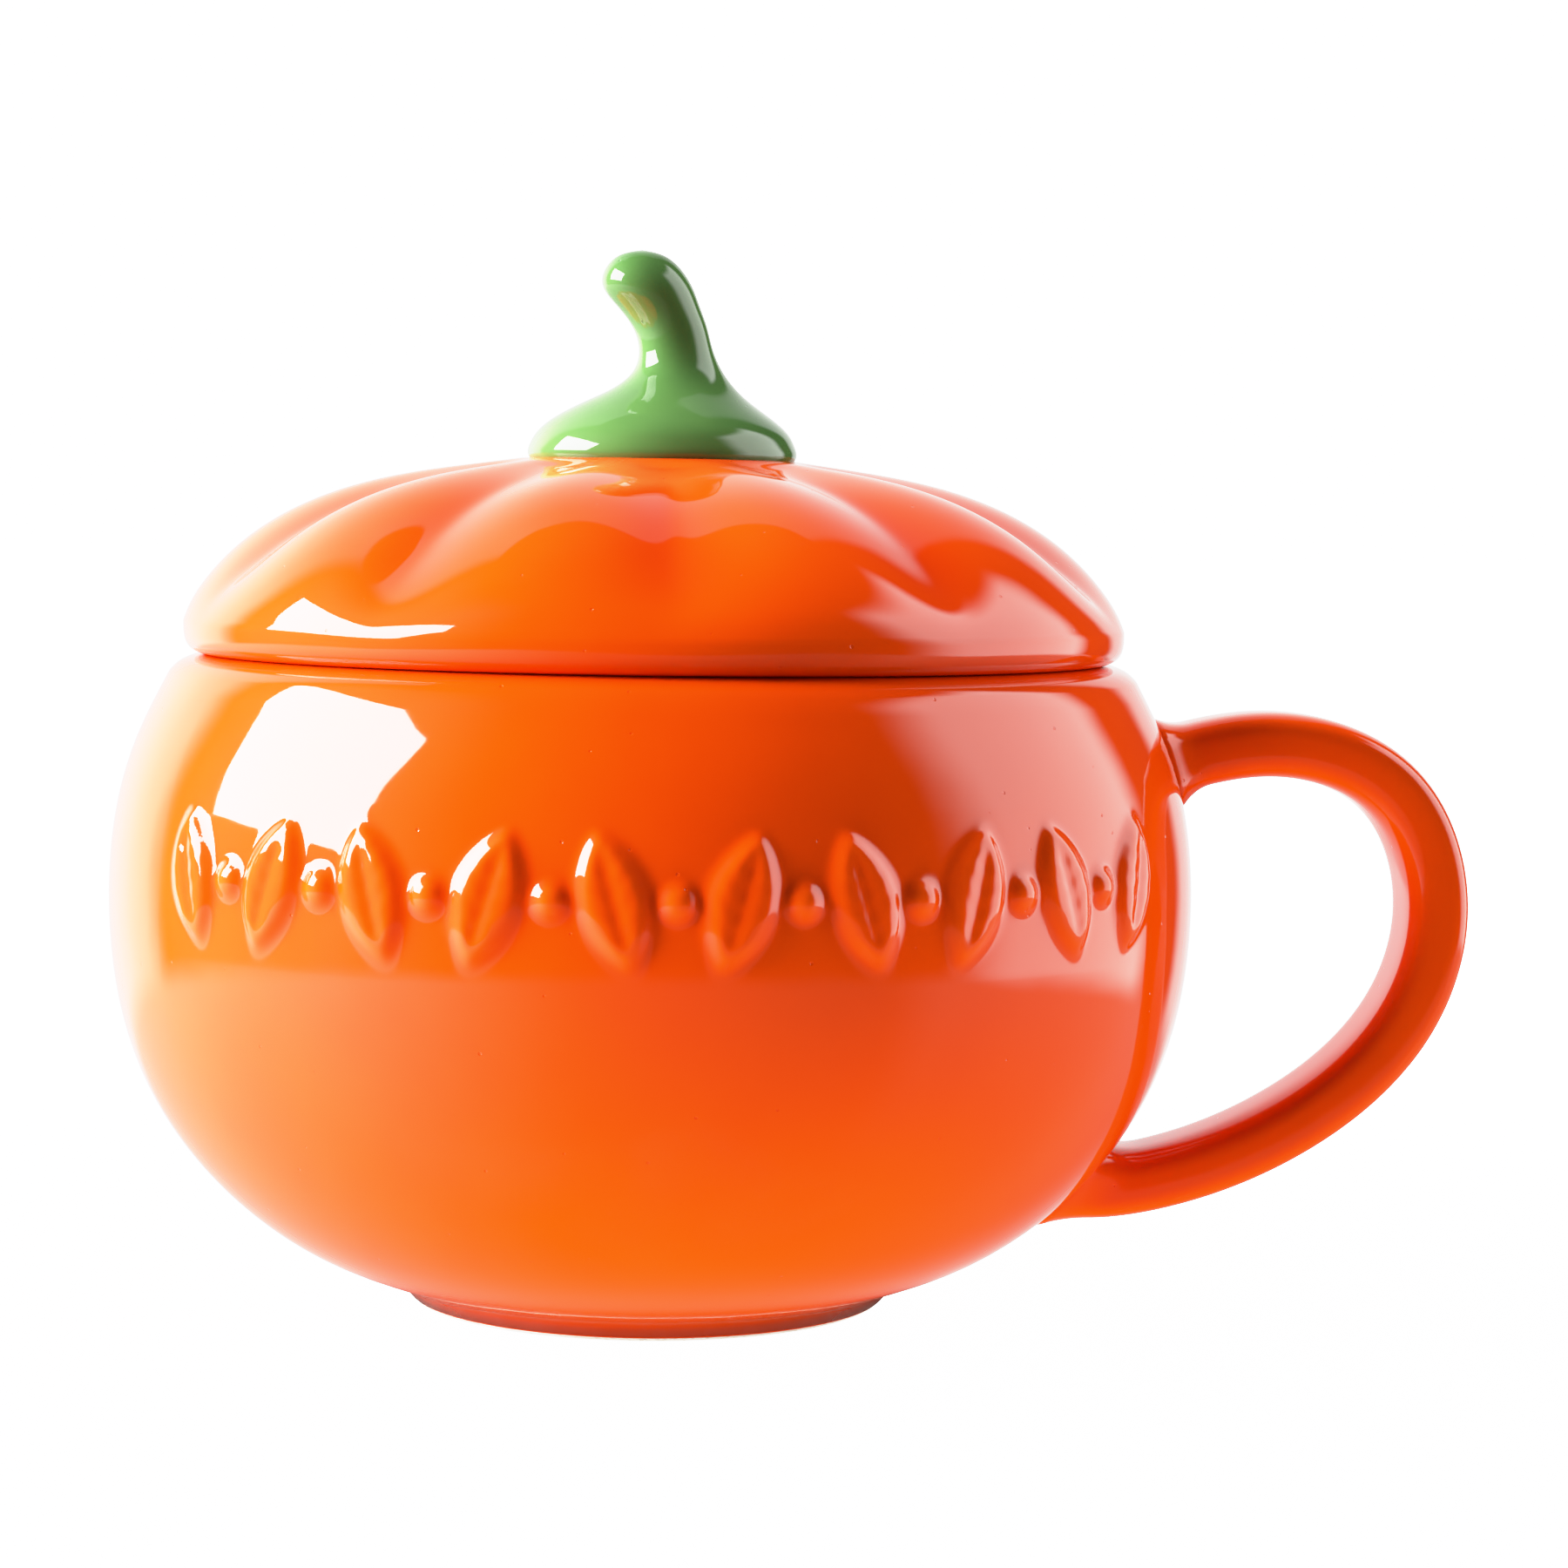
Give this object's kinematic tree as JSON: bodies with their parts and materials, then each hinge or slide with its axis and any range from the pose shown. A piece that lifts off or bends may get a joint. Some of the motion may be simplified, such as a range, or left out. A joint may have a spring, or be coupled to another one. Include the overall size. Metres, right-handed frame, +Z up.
{
  "type": "lidded pumpkin mug",
  "caption": "Round ceramic pumpkin mug with a strap handle, a raised leaf band and a lobed lift-off lid with a bent stem knob.",
  "frame": {"origin": "centre of the foot ring, on the plane it rests on, on the cup's axis", "axes": "+Z up along the cup's axis, +X towards the handle, -Y the front with the leaf band"},
  "size_m": [0.157, 0.125, 0.1207],
  "materials": {
    "orange_glaze": "gloss pumpkin orange glaze",
    "liner_glaze": "gloss warm white liner glaze",
    "green_glaze": "gloss leaf green glaze",
    "bare_clay": "unglazed fired clay"
  },
  "bodies": {
    "cup": {"cup_body": "orange_glaze", "foot_ring": "bare_clay", "handle": "orange_glaze", "leaf_band": "orange_glaze"},
    "lid": {"lid_shell": "orange_glaze", "lid_ring": "liner_glaze", "stem_knob": "green_glaze"}
  },
  "joints": [
    {"name": "lid_lift", "type": "slide", "parent": "cup", "child": "lid", "axis": [0, 0, 1], "range_m": [0, 0.06]}
  ]
}
